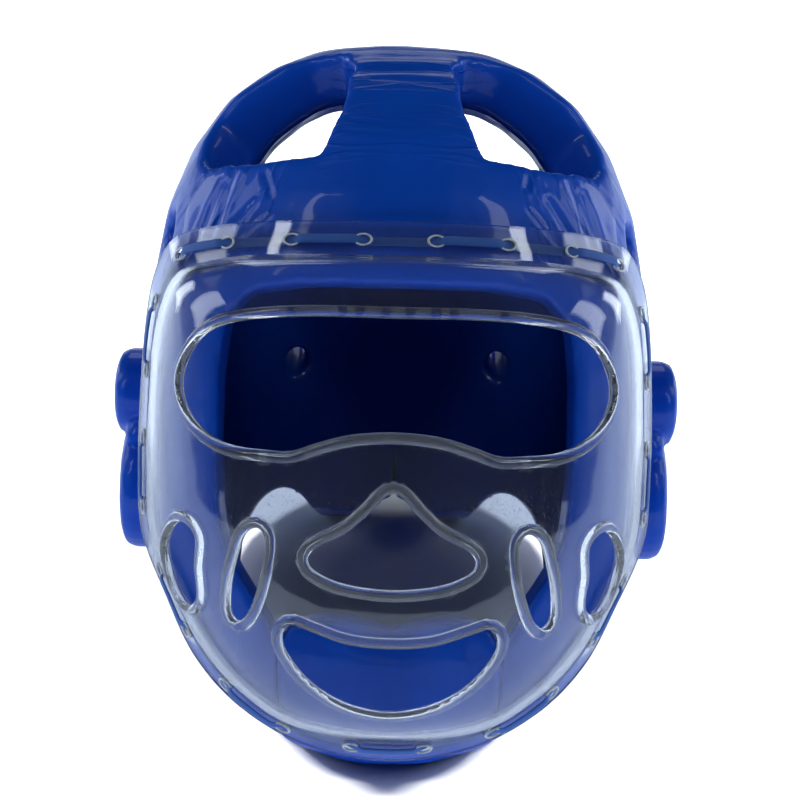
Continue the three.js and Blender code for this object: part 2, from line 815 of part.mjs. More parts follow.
// The lace runs over the flange from one hole to the next and under it to the one after.
function laceLoop() {
  const length = lacingCurve.getLength();
  const slant = (laceHoleLength - laceThickness) / 2 / length;
  const under = -lacingRoom / 2;
  const over = shieldThickness + laceThickness / 2 + laceGap;
  const between = 3;
  const sections = [];
  for (let hole = 0; hole < laceHoles; hole += 1) {
    const place = (hole + 0.5) / laceHoles;
    const [before, after] = hole % 2 === 0 ? [under, over] : [over, under];
    sections.push([place - slant, before]);
    sections.push([place + slant, after]);
    for (let step = 1; step <= between; step += 1) {
      const gap = 1 / laceHoles - 2 * slant;
      sections.push([place + slant + (gap * step) / (between + 1), after]);
    }
  }
  return loopedSolid(sections.map(([share, rise]) => {
    const spot = lacingSpot(share);
    return [[-1, -1], [1, -1], [1, 1], [-1, 1]].map(([across, out]) =>
      spot.point.clone()
        .addScaledVector(spot.across, (across * laceWidth) / 2)
        .addScaledVector(spot.out, rise + (out * laceThickness) / 2));
  }));
}

// Materials and the finished group

const dippedFoam = new THREE.MeshStandardMaterial({ color: 0x1646a0, roughness: 0.25, metalness: 0 });
const clearPlastic = new THREE.MeshStandardMaterial({ color: 0xe6eaee, roughness: 0.05, metalness: 0 });
const blueCord = new THREE.MeshStandardMaterial({ color: 0x1c4fae, roughness: 0.7, metalness: 0 });
const elastic = new THREE.MeshStandardMaterial({ color: 0x16336e, roughness: 0.8, metalness: 0 });

function meshNamed(name, solid, material) {
  const mesh = solid.getMesh();
  const geometry = new THREE.BufferGeometry();
  const places = new Float32Array(mesh.numVert * 3);
  for (let i = 0; i < mesh.numVert; i += 1) {
    for (let axis = 0; axis < 3; axis += 1) {
      places[i * 3 + axis] = mesh.vertProperties[i * mesh.numProp + axis];
    }
  }
  geometry.setAttribute("position", new THREE.BufferAttribute(places, 3));
  geometry.setIndex(new THREE.BufferAttribute(new Uint32Array(mesh.triVerts), 1));
  geometry.computeVertexNormals();
  const result = new THREE.Mesh(geometry, material);
  result.name = name;
  return result;
}

function buildGuard() {
  const leaned = new THREE.Group();
  const body = foamBody();
  leaned.add(meshNamed("foam_shell", body.subtract(chinBlock(-fitGap / 2)), dippedFoam));
  leaned.add(meshNamed("chin_pad", body.intersect(chinBlock(fitGap / 2)), dippedFoam));
  leaned.add(meshNamed("ear_pad_left", earPad(-1), dippedFoam));
  leaned.add(meshNamed("ear_pad_right", earPad(1), dippedFoam));
  leaned.add(meshNamed("rear_strap", rearStrap(), elastic));
  leaned.add(meshNamed("face_shield", faceShield(), clearPlastic));
  leaned.add(meshNamed("lace", laceLoop(), blueCord));
  leaned.rotation.x = -restLean;

  const guard = new THREE.Group();
  guard.add(leaned);
  guard.updateMatrixWorld(true);
  const box = new THREE.Box3().setFromObject(guard, true);
  leaned.position.set(-(box.min.x + box.max.x) / 2, -(box.min.y + box.max.y) / 2, floorDrop);
  guard.updateMatrixWorld(true);
  return guard;
}

export default buildGuard();
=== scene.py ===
# Looks of the padded head guard with its clear laced shield
import math

import bpy
import numpy as np
from mathutils import Matrix, Vector, noise
from mathutils.kdtree import KDTree


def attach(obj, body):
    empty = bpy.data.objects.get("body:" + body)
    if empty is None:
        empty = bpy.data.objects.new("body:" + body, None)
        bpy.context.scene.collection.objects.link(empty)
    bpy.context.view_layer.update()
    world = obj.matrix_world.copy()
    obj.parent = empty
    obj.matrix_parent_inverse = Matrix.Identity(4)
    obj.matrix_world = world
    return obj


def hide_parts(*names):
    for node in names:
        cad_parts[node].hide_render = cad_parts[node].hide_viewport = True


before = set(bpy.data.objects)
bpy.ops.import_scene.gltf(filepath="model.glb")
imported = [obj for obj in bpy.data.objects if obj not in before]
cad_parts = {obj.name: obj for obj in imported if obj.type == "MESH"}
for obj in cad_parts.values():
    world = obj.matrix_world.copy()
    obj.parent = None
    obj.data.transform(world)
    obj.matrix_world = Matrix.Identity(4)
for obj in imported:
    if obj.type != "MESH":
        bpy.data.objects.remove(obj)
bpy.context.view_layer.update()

# The guard was drawn upright, in millimetres, and leans back on its chin and nape.
stand = {"leanDegrees": 28, "shiftBack": 13.969, "lift": 102}
mm = 0.001
leaning = Matrix.Rotation(-math.radians(stand["leanDegrees"]), 4, "X")
standing = Matrix.Translation((0, stand["shiftBack"] * mm, stand["lift"] * mm))
uprightToRow = standing @ leaning @ Matrix.Scale(mm, 4)
rowToUpright = uprightToRow.inverted()

# How near two points are merged, in metres, from the coarsest meshes to the finest
merging = {"solid": 0.00002, "dome": 0.000005, "loop": 0.000002, "hole": 0.000001}


# Small helpers

def deselectAll():
    if bpy.context.object and bpy.context.object.mode != "OBJECT":
        bpy.ops.object.mode_set(mode="OBJECT")
    bpy.ops.object.select_all(action="DESELECT")


def makeActive(piece):
    deselectAll()
    piece.select_set(True)
    bpy.context.view_layer.objects.active = piece


def addModifier(piece, kind, **settings):
    makeActive(piece)
    modifier = piece.modifiers.new(kind.lower(), kind)
    for key, value in settings.items():
        setattr(modifier, key, value)
    bpy.ops.object.modifier_apply(modifier=modifier.name)


def cleanMesh(piece, mergeDistance):
    makeActive(piece)
    bpy.ops.object.mode_set(mode="EDIT")
    bpy.ops.mesh.select_all(action="SELECT")
    bpy.ops.mesh.remove_doubles(threshold=mergeDistance)
    bpy.ops.mesh.normals_make_consistent(inside=False)
    bpy.ops.object.mode_set(mode="OBJECT")


# Two faces on the same corners are a fold without thickness, which a joined mesh can hold where surfaces
# touch. Both are taken out, with the edges that they leave loose.
def dropFolds(piece):
    groups = {}
    for face in piece.data.polygons:
        groups.setdefault(tuple(sorted(face.vertices)), []).append(face.index)
    makeActive(piece)
    bpy.ops.object.mode_set(mode="EDIT")
    bpy.ops.mesh.select_mode(type="FACE")
    bpy.ops.mesh.select_all(action="DESELECT")
    bpy.ops.object.mode_set(mode="OBJECT")
    for group in groups.values():
        for index in group:
            piece.data.polygons[index].select = len(group) > 1
    bpy.ops.object.mode_set(mode="EDIT")
    bpy.ops.mesh.delete(type="ONLY_FACE")
    bpy.ops.mesh.select_mode(type="VERT")
    bpy.ops.mesh.select_all(action="SELECT")
    bpy.ops.mesh.delete_loose()
    bpy.ops.object.mode_set(mode="OBJECT")


def copyOfNode(node, name):
    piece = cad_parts[node].copy()
    piece.data = piece.data.copy()
    piece.parent = None
    piece.matrix_world = Matrix.Identity(4)
    for key in list(piece.keys()):
        del piece[key]
    piece.name = name
    bpy.context.scene.collection.objects.link(piece)
    cleanMesh(piece, merging["solid"])
    return piece


def vertexPlaces(piece):
    places = np.zeros(len(piece.data.vertices) * 3)
    piece.data.vertices.foreach_get("co", places)
    return places.reshape(-1, 3)


def vertexNormals(piece):
    normals = np.zeros(len(piece.data.vertices) * 3)
    piece.data.vertices.foreach_get("normal", normals)
    return normals.reshape(-1, 3)


def setPlaces(piece, places):
    piece.data.vertices.foreach_set("co", places.astype(np.float32).ravel())
    piece.data.update()


def moved(places, matrix):
    turned = np.array(matrix)
    return places @ turned[:3, :3].T + turned[:3, 3]


def dressPiece(piece, material, node):
    piece.data.materials.clear()
    piece.data.materials.append(material)
    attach(piece, "root")
    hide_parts(node)


# Camera at the photograph's angle, straight at the face of the leaning guard
cameraView = {
    "distance": 961, "lens": 100, "sensor": 36, "rollDegrees": 1.46, "shiftX": 0.005, "nearest": 0.05,
}
bpy.ops.object.camera_add(location=uprightToRow @ Vector((0, -cameraView["distance"], 0)))
camera = bpy.context.object
camera.name = "photoCamera"
camera.data.lens = cameraView["lens"]
camera.data.sensor_width = cameraView["sensor"]
camera.data.shift_x = cameraView["shiftX"]
facing = leaning @ Matrix.Rotation(math.radians(90), 4, "X")
rolled = facing @ Matrix.Rotation(math.radians(cameraView["rollDegrees"]), 4, "Z")
camera.rotation_euler = rolled.to_euler()
camera.data.clip_start = cameraView["nearest"]
bpy.context.scene.camera = camera
print("camera placed")


# Materials

def newMaterial(name):
    material = bpy.data.materials.new(name)
    material.use_nodes = True
    nodes = material.node_tree.nodes
    return material, nodes, material.node_tree.links, nodes["Principled BSDF"]


def addNode(nodes, kind, inputs=None, **settings):
    node = nodes.new(kind)
    for key, value in settings.items():
        setattr(node, key, value)
    for key, value in (inputs or {}).items():
        node.inputs[key].default_value = value
    return node


def colourRamp(nodes, stops):
    ramp = nodes.new("ShaderNodeValToRGB")
    while len(ramp.color_ramp.elements) < len(stops):
        ramp.color_ramp.elements.new(0.5)
    for element, (place, colour) in zip(ramp.color_ramp.elements, stops):
        element.position = place
        element.color = (*colour, 1)
    return ramp


vinyl = {
    "deepBlue": (0.003, 0.076, 0.56),
    "paleBlue": (0.005, 0.096, 0.67),
    # How far the inner side's blue is darkened, as painted shade
    "insidePaintedShade": 0.42,
    "roughness": (0.30, 0.46),
    "specular": 0.14,
    "coat": 0.26,
    "coatRoughness": 0.05,
    "clouds": {"Scale": 14, "Detail": 4, "Roughness": 0.6},
    "smudges": {"Scale": 38, "Detail": 5, "Roughness": 0.65},
    "grain": {"Scale": 900, "Detail": 2},
    "grainBump": {"Strength": 0.25, "Distance": 0.00011},
    "ripples": {"Scale": 55, "Detail": 3, "Roughness": 0.5, "Distortion": 0.6},
    "rippleBump": {"Strength": 0.5, "Distance": 0.0006},
    "waves": {"Scale": 1, "Detail": 2.5, "Roughness": 0.45, "Distortion": 0.25},
    "ridge": (0.43, 0.5, 0.57),
    "wrinkleStrength": 0.8,
    "wrinkles": {
        "templeWrinkles": {"turnDegrees": -30, "spacing": (0.0085, 0.03, 0.06), "height": 0.0007},
        "strapWrinkles": {"turnDegrees": 3, "spacing": (0.05, 0.0085, 0.0085), "height": 0.0004},
    },
}
black, white = (0, 0, 0), (1, 1, 1)


# Object coordinates with the left side folded onto the right one, so that both sides wrinkle alike.
def foldedPlaces(nodes, links, coordinates):
    split = addNode(nodes, "ShaderNodeSeparateXYZ")
    bothSides = addNode(nodes, "ShaderNodeMath", operation="ABSOLUTE")
    folded = addNode(nodes, "ShaderNodeCombineXYZ")
    links.new(coordinates.outputs["Object"], split.inputs["Vector"])
    links.new(split.outputs["X"], bothSides.inputs[0])
    links.new(bothSides.outputs["Value"], folded.inputs["X"])
    links.new(split.outputs["Y"], folded.inputs["Y"])
    links.new(split.outputs["Z"], folded.inputs["Z"])
    return folded


def vinylMaterial():
    material, nodes, links, shader = newMaterial("dippedVinyl")
    coordinates = addNode(nodes, "ShaderNodeTexCoord")
    clouds = addNode(nodes, "ShaderNodeTexNoise", vinyl["clouds"])
    blues = colourRamp(nodes, [(0.3, vinyl["deepBlue"]), (0.7, vinyl["paleBlue"])])
    links.new(coordinates.outputs["Object"], clouds.inputs["Vector"])
    links.new(clouds.outputs["Fac"], blues.inputs["Fac"])
    # Behind the face opening the inner side is darkened: painted shade for the dark inside of the guard.
    inside = addNode(nodes, "ShaderNodeAttribute", attribute_name="inside")
    shade = colourRamp(nodes, [(0.0, white), (1.0, (vinyl["insidePaintedShade"],) * 3)])
    paintedShade = addNode(nodes, "ShaderNodeMix", data_type="RGBA", blend_type="MULTIPLY")
    paintedShade.inputs["Factor"].default_value = 1
    links.new(inside.outputs["Fac"], shade.inputs["Fac"])
    links.new(blues.outputs["Color"], paintedShade.inputs["A"])
    links.new(shade.outputs["Color"], paintedShade.inputs["B"])
    links.new(paintedShade.outputs["Result"], shader.inputs["Base Color"])
    smudges = addNode(nodes, "ShaderNodeTexNoise", vinyl["smudges"])
    smooth, dull = vinyl["roughness"]
    gloss = addNode(nodes, "ShaderNodeMapRange",
                    {"From Min": 0.35, "From Max": 0.7, "To Min": smooth, "To Max": dull})
    links.new(coordinates.outputs["Object"], smudges.inputs["Vector"])
    links.new(smudges.outputs["Fac"], gloss.inputs["Value"])
    links.new(gloss.outputs["Result"], shader.inputs["Roughness"])
    grain = addNode(nodes, "ShaderNodeTexNoise", vinyl["grain"])
    grainBump = addNode(nodes, "ShaderNodeBump", vinyl["grainBump"])
    links.new(coordinates.outputs["Object"], grain.inputs["Vector"])
    links.new(grain.outputs["Fac"], grainBump.inputs["Height"])
    ripples = addNode(nodes, "ShaderNodeTexNoise", vinyl["ripples"])
    surface = addNode(nodes, "ShaderNodeBump", vinyl["rippleBump"])
    links.new(coordinates.outputs["Object"], ripples.inputs["Vector"])
    links.new(ripples.outputs["Fac"], surface.inputs["Height"])
    links.new(grainBump.outputs["Normal"], surface.inputs["Normal"])
    folded = foldedPlaces(nodes, links, coordinates)
    foot, crest, farFoot = vinyl["ridge"]
    for name, wrinkle in vinyl["wrinkles"].items():
        place = addNode(nodes, "ShaderNodeMapping", vector_type="TEXTURE")
        place.inputs["Rotation"].default_value = (0, math.radians(wrinkle["turnDegrees"]), 0)
        place.inputs["Scale"].default_value = wrinkle["spacing"]
        waves = addNode(nodes, "ShaderNodeTexNoise", vinyl["waves"])
        ridges = colourRamp(nodes, [(foot, black), (crest, white), (farFoot, black)])
        where = addNode(nodes, "ShaderNodeAttribute", attribute_name=name)
        height = addNode(nodes, "ShaderNodeMath", operation="MULTIPLY")
        links.new(folded.outputs["Vector"], place.inputs["Vector"])
        links.new(place.outputs["Vector"], waves.inputs["Vector"])
        links.new(waves.outputs["Fac"], ridges.inputs["Fac"])
        links.new(ridges.outputs["Color"], height.inputs[0])
        links.new(where.outputs["Fac"], height.inputs[1])
        bump = addNode(nodes, "ShaderNodeBump",
                       {"Strength": vinyl["wrinkleStrength"], "Distance": wrinkle["height"]})
        links.new(height.outputs["Value"], bump.inputs["Height"])
        links.new(surface.outputs["Normal"], bump.inputs["Normal"])
        surface = bump
    links.new(surface.outputs["Normal"], shader.inputs["Normal"])
    shader.inputs["Specular IOR Level"].default_value = vinyl["specular"]
    shader.inputs["Coat Weight"].default_value = vinyl["coat"]
    shader.inputs["Coat Roughness"].default_value = vinyl["coatRoughness"]
    return material


clearPlastic = {
    "tint": (0.93, 0.95, 0.97, 1),
    "clearness": 0.985,
    "roughness": (0.02, 0.09),
    "refraction": 1.49,
    "lampTint": (0.18, 0.19, 0.21, 1),
    "smears": {"Scale": 22, "Detail": 6, "Roughness": 0.7},
    "scratchTurns": (24, -37),
    "scratchSpacings": ((2600, 2600, 40), (2100, 2100, 40)),
    "scratchEdge": (0.72, 0.76),
    "scratchBump": {"Strength": 0.3, "Distance": 0.00007},
}


# Lamplight passes clear plastic dimmed by a tint, as a shadow, and every other ray meets the plastic itself.
def letLampsThrough(nodes, links, shader):
    rays = addNode(nodes, "ShaderNodeLightPath")
    through = addNode(nodes, "ShaderNodeBsdfTransparent", {"Color": clearPlastic["lampTint"]})
    mix = addNode(nodes, "ShaderNodeMixShader")
    links.new(rays.outputs["Is Shadow Ray"], mix.inputs["Fac"])
    links.new(shader.outputs["BSDF"], mix.inputs[1])
    links.new(through.outputs["BSDF"], mix.inputs[2])
    links.new(mix.outputs["Shader"], nodes["Material Output"].inputs["Surface"])


def shieldMaterial():
    material, nodes, links, shader = newMaterial("clearPolycarbonate")
    shader.inputs["Base Color"].default_value = clearPlastic["tint"]
    shader.inputs["Transmission Weight"].default_value = clearPlastic["clearness"]
    shader.inputs["IOR"].default_value = clearPlastic["refraction"]
    coordinates = addNode(nodes, "ShaderNodeTexCoord")
    smears = addNode(nodes, "ShaderNodeTexNoise", clearPlastic["smears"])
    polished, hazy = clearPlastic["roughness"]
    haze = addNode(nodes, "ShaderNodeMapRange",
                   {"From Min": 0.45, "From Max": 0.8, "To Min": polished, "To Max": hazy})
    links.new(coordinates.outputs["Object"], smears.inputs["Vector"])
    links.new(smears.outputs["Fac"], haze.inputs["Value"])
    links.new(haze.outputs["Result"], shader.inputs["Roughness"])
    depths = []
    scratchFoot, scratchTop = clearPlastic["scratchEdge"]
    for turn, spacing in zip(clearPlastic["scratchTurns"], clearPlastic["scratchSpacings"]):
        place = addNode(nodes, "ShaderNodeMapping")
        place.inputs["Rotation"].default_value = (0, math.radians(turn), 0)
        place.inputs["Scale"].default_value = spacing
        lines = addNode(nodes, "ShaderNodeTexNoise", {"Scale": 1, "Detail": 1})
        thin = colourRamp(nodes, [(0.0, black), (scratchFoot, black), (scratchTop, white)])
        links.new(coordinates.outputs["Object"], place.inputs["Vector"])
        links.new(place.outputs["Vector"], lines.inputs["Vector"])
        links.new(lines.outputs["Fac"], thin.inputs["Fac"])
        depths.append(thin)
    both = addNode(nodes, "ShaderNodeMath", operation="ADD")
    links.new(depths[0].outputs["Color"], both.inputs[0])
    links.new(depths[1].outputs["Color"], both.inputs[1])
    bump = addNode(nodes, "ShaderNodeBump", clearPlastic["scratchBump"])
    links.new(both.outputs["Value"], bump.inputs["Height"])
    links.new(bump.outputs["Normal"], shader.inputs["Normal"])
    letLampsThrough(nodes, links, shader)
    return material


# The rolled rims: clear plastic given a pale grey share of colour, a painted highlight for the bright lines
# along them.
rimPlasticAndPaintedHighlight = {
    "grey": (0.78, 0.81, 0.84),
    "pale": (0.95, 0.96, 0.97),
    "clouds": {"Scale": 60, "Detail": 4},
    "roughness": 0.05,
    "clearness": 0.9,
}


def rimMaterial():
    material, nodes, links, shader = newMaterial("rolledRim")
    coordinates = addNode(nodes, "ShaderNodeTexCoord")
    clouds = addNode(nodes, "ShaderNodeTexNoise", rimPlasticAndPaintedHighlight["clouds"])
    # Pale grey clouds on the rims: painted highlight.
    ramp = colourRamp(nodes, [(0.3, rimPlasticAndPaintedHighlight["grey"]), (0.7, rimPlasticAndPaintedHighlight["pale"])])
    links.new(coordinates.outputs["Object"], clouds.inputs["Vector"])
    links.new(clouds.outputs["Fac"], ramp.inputs["Fac"])
    links.new(ramp.outputs["Color"], shader.inputs["Base Color"])
    shader.inputs["Roughness"].default_value = rimPlasticAndPaintedHighlight["roughness"]
    shader.inputs["Transmission Weight"].default_value = rimPlasticAndPaintedHighlight["clearness"]
    shader.inputs["IOR"].default_value = clearPlastic["refraction"]
    letLampsThrough(nodes, links, shader)
    return material


punchedPlastic = {
    "grey": (0.62, 0.65, 0.68),
    "pale": (0.9, 0.92, 0.93),
    "grain": {"Scale": 700, "Detail": 3},
    "roughness": 0.25,
}


def whitenedMaterial():
    material, nodes, links, shader = newMaterial("whitenedEdge")
    coordinates = addNode(nodes, "ShaderNodeTexCoord")
    grain = addNode(nodes, "ShaderNodeTexNoise", punchedPlastic["grain"])
    ramp = colourRamp(nodes, [(0.35, punchedPlastic["grey"]), (0.65, punchedPlastic["pale"])])
    links.new(coordinates.outputs["Object"], grain.inputs["Vector"])
    links.new(grain.outputs["Fac"], ramp.inputs["Fac"])
    links.new(ramp.outputs["Color"], shader.inputs["Base Color"])
    shader.inputs["Roughness"].default_value = punchedPlastic["roughness"]
    return material


# Weaves: two blues, rows of thread along and across the piece's UV map, and how deep the threads lie
weaves = {
    "braidedLace": {"dark": (0.012, 0.07, 0.34), "light": (0.03, 0.16, 0.62),
                    "rows": (1900, 8, 1), "depth": 0.00006},
    "wovenElastic": {"dark": (0.004, 0.014, 0.075), "light": (0.012, 0.045, 0.2),
                     "rows": (70, 24, 1), "depth": 0.0002},
}
thread = {"twistShare": 0.6, "bumpStrength": 0.7, "roughness": 0.62, "sheen": 0.25}


def wovenMaterial(name):
    weave = weaves[name]
    material, nodes, links, shader = newMaterial(name)
    coordinates = addNode(nodes, "ShaderNodeTexCoord")
    place = addNode(nodes, "ShaderNodeMapping")
    place.inputs["Scale"].default_value = weave["rows"]
    threads = addNode(nodes, "ShaderNodeTexChecker",
                      {"Scale": 1, "Color1": (*white, 1), "Color2": (*black, 1)})
    twist = addNode(nodes, "ShaderNodeTexWave",
                    {"Scale": 1, "Distortion": 1.5, "Detail": 1}, bands_direction="DIAGONAL")
    links.new(coordinates.outputs["UV"], place.inputs["Vector"])
    links.new(place.outputs["Vector"], threads.inputs["Vector"])
    links.new(place.outputs["Vector"], twist.inputs["Vector"])
    height = addNode(nodes, "ShaderNodeMath", operation="MULTIPLY_ADD")
    height.inputs[1].default_value = thread["twistShare"]
    links.new(twist.outputs["Fac"], height.inputs[0])
    links.new(threads.outputs["Fac"], height.inputs[2])
    ramp = colourRamp(nodes, [(0.1, weave["dark"]), (1.0, weave["light"])])
    links.new(height.outputs["Value"], ramp.inputs["Fac"])
    links.new(ramp.outputs["Color"], shader.inputs["Base Color"])
    bump = addNode(nodes, "ShaderNodeBump",
                   {"Strength": thread["bumpStrength"], "Distance": weave["depth"]})
    links.new(height.outputs["Value"], bump.inputs["Height"])
    links.new(bump.outputs["Normal"], shader.inputs["Normal"])
    shader.inputs["Roughness"].default_value = thread["roughness"]
    shader.inputs["Sheen Weight"].default_value = thread["sheen"]
    return material


whitenedFinish = whitenedMaterial()
rimFinish = rimMaterial()
vinylFinish = vinylMaterial()
shieldFinish = shieldMaterial()
laceFinish = wovenMaterial("braidedLace")
elasticFinish = wovenMaterial("wovenElastic")
print("materials mixed")


# Foam pieces: remeshed from the CAD solids, their dipped edges smoothed round, then made a little uneven.
# Voxels, unevenness and growth are in millimetres.
foamPieces = {
    "shellFoam": {"node": "foam_shell", "voxel": 1.5, "smoothing": 19,
                  "unevenness": 0.25, "fill": 0.95, "grow": 0},
    "chinFoam": {"node": "chin_pad", "voxel": 1.4, "smoothing": 9,
                 "unevenness": 0.2, "fill": 0.95, "grow": 1.0},
    "earFoamLeft": {"node": "ear_pad_left", "voxel": 1.1, "smoothing": 2,
                    "unevenness": 0.2, "fill": 0.9, "grow": 0},
    "earFoamRight": {"node": "ear_pad_right", "voxel": 1.1, "smoothing": 2,
                     "unevenness": 0.2, "fill": 0.9, "grow": 0},
}
unevenWaves = {"coarse": 45, "fine": 130, "fineShare": 0.4}

# A crease is a line pressed into the front, from one place to the other, in millimetres across and up, with
# a low swelling on both sides.
creases = [
    {"from": (-20, 140), "to": (20, 141), "width": 1.6, "depth": 0.7},
    {"from": (-21, 133), "to": (21, 134.5), "width": 1.6, "depth": 0.8},
    {"from": (-12, 129), "to": (19, 127), "width": 1.2, "depth": 0.35},
    {"from": (-21, 110), "to": (3, 107.5), "width": 1.2, "depth": 0.4},
    {"from": (-23, 106), "to": (6, 104), "width": 1.2, "depth": 0.35},
    {"from": (-74, 64), "to": (-66, 91), "width": 1.5, "depth": 0.7},
    {"from": (-80, 62), "to": (-71, 85), "width": 1.5, "depth": 0.6},
    {"from": (-70, 62), "to": (-57, 76), "width": 1.3, "depth": 0.5},
    {"from": (-66, 60), "to": (-51, 71), "width": 1.3, "depth": 0.4},
    {"from": (-54, 88), "to": (-51, 79), "width": 1.2, "depth": 0.4},
    {"from": (76, 62), "to": (66, 92), "width": 1.5, "depth": 0.7},
    {"from": (81, 60), "to": (72, 84), "width": 1.5, "depth": 0.6},
    {"from": (70, 62), "to": (58, 80), "width": 1.3, "depth": 0.5},
    {"from": (62, 62), "to": (50, 76), "width": 1.3, "depth": 0.4},
    {"from": (52, 96), "to": (49, 84), "width": 1.2, "depth": 0.4},
]
swelling = {"share": 0.35, "away": 2}
creasedBefore = 5

# The slit's two edges are drawn together, within a reach on both sides, below its top and behind the neck.
napeSlit = {"reach": 5, "top": 0, "behind": 40, "pull": 2.2}

# Where the vinyl wrinkles, across and up, and how softly that ends. The inside, whose colour is darkened
# as painted shade, begins behind the face opening.
wrinkled = {
    "templeWrinkles": {"across": (46, 140, 10), "up": (50, 97, 8)},
    "strapWrinkles": {"across": (-1, 33, 8), "up": (92, 170, 8)},
}
frontEnds = {"at": 10, "soft": 12}
insideBegins = {"at": -70, "soft": 50, "turnSharpness": 3}


def uprightNormals(piece):
    return vertexNormals(piece) @ np.array(leaning.inverted())[:3, :3].T


def pressCreases(piece):
    places = moved(vertexPlaces(piece), rowToUpright)
    normals = uprightNormals(piece)
    facingOut = (normals * places).sum(axis=1) > 0
    inFront = places[:, 1] < creasedBefore
    depthHere = np.zeros(len(places))
    for crease in creases:
        start = np.array(crease["from"], float)
        span = np.array(crease["to"], float) - start
        flat = places[:, [0, 2]] - start
        share = np.clip(flat @ span / (span @ span), 0, 1)
        away = np.linalg.norm(flat - np.outer(share, span), axis=1) / crease["width"]
        swollen = swelling["share"] * np.exp(-(away - swelling["away"]) ** 2)
        depthHere += crease["depth"] * (np.exp(-away ** 2) - swollen)
    depthHere *= facingOut & inFront
    places -= normals * depthHere[:, None]
    setPlaces(piece, moved(places, uprightToRow))


def closeSlit(piece):
    places = moved(vertexPlaces(piece), rowToUpright)
    across = np.abs(places[:, 0])
    near = across < napeSlit["reach"]
    near &= places[:, 1] > napeSlit["behind"]
    near &= places[:, 2] < napeSlit["top"]
    pulled = napeSlit["reach"] * (across / napeSlit["reach"]) ** napeSlit["pull"]
    places[:, 0] = np.where(near, np.sign(places[:, 0]) * pulled, places[:, 0])
    setPlaces(piece, moved(places, uprightToRow))


def fadedBetween(values, low, high, soft):
    return np.clip((values - low) / soft + 0.5, 0, 1) * np.clip((high - values) / soft + 0.5, 0, 1)


# Shares, point by point, of how wrinkled and how far inside the vinyl is, which its material reads.
def markVinyl(piece):
    places = moved(vertexPlaces(piece), rowToUpright)
    outwards = (uprightNormals(piece) * places).sum(axis=1) / np.linalg.norm(places, axis=1)
    facingOut = np.clip(outwards * insideBegins["turnSharpness"], -1, 1)
    across, back, up = np.abs(places[:, 0]), places[:, 1], places[:, 2]
    inFront = np.clip((frontEnds["at"] - back) / frontEnds["soft"], 0, 1)
    behindFace = np.clip((back - insideBegins["at"]) / insideBegins["soft"], 0, 1)
    # The inside share darkens the vinyl's blue there as painted shade.
    shares = {"inside": np.clip(-facingOut, 0, 1) * behindFace}
    for name, zone in wrinkled.items():
        shares[name] = fadedBetween(across, *zone["across"]) * fadedBetween(up, *zone["up"]) * inFront
    for name, share in shares.items():
        attribute = piece.data.attributes.new(name, "FLOAT", "POINT")
        attribute.data.foreach_set("value", share.astype(np.float32))


def wave(place):
    coarse = noise.noise(place * unevenWaves["coarse"])
    return coarse + unevenWaves["fineShare"] * noise.noise(place * unevenWaves["fine"])


def makeUneven(piece, amount):
    places = vertexPlaces(piece)
    normals = vertexNormals(piece)
    waves = np.array([wave(Vector(place)) for place in places])
    setPlaces(piece, places + normals * (waves * amount * mm)[:, None])


def restOnFloor(piece):
    places = vertexPlaces(piece)
    places[:, 2] = np.maximum(places[:, 2], 0)
    setPlaces(piece, places)


for pieceName, foam in foamPieces.items():
    pad = copyOfNode(foam["node"], pieceName)
    addModifier(pad, "REMESH", mode="VOXEL", voxel_size=foam["voxel"] * mm, use_smooth_shade=True)
    addModifier(pad, "SMOOTH", factor=1, iterations=foam["smoothing"])
    if foam["grow"]:
        setPlaces(pad, vertexPlaces(pad) + vertexNormals(pad) * foam["grow"] * mm)
    if foam["node"] == "foam_shell":
        pressCreases(pad)
        closeSlit(pad)
        markVinyl(pad)
    makeUneven(pad, foam["unevenness"])
    restOnFloor(pad)
    makeActive(pad)
    bpy.ops.object.shade_smooth()
    dressPiece(pad, vinylFinish, foam["node"])
    print(pieceName, "shaped,", len(pad.data.polygons), "faces")


# The foam's outer form, which the shield is laid on, in millimetres. Its rows, from crown to chin, hold
# height, half width, front, back and how far forward the middle lies, as shares of the sizes.
shell = {"halfWidth": 107, "front": 110, "back": 125, "crown": 151, "chin": 147, "roundness": 2.3}
crownRows = [
    (0.996, 0.2, 0.17, 0.19, 0), (0.971, 0.39, 0.345, 0.4, 0), (0.921, 0.545, 0.51, 0.56, 0),
    (0.83, 0.708, 0.673, 0.72, 0), (0.697, 0.836, 0.818, 0.848, 0), (0.526, 0.93, 0.927, 0.944, 0),
    (0.355, 0.972, 0.986, 0.992, 0), (0.16, 0.992, 1, 1, 0),
]
jawRows = [
    (-0.04, 1, 1, 0.992, 0), (-0.24, 1, 1, 0.965, 0), (-0.376, 0.977, 0.99, 0.93, 0.05),
    (-0.47, 0.92, 0.972, 0.88, 0.14), (-0.57, 0.85, 0.945, 0.8, 0.25), (-0.691, 0.767, 0.918, 0.68, 0.36),
    (-0.775, 0.68, 0.89, 0.56, 0.43), (-0.859, 0.553, 0.855, 0.3, 0.49), (-0.94, 0.364, 0.764, 0, 0.53),
    (-0.987, 0.168, 0.65, -0.3, 0.55),
]

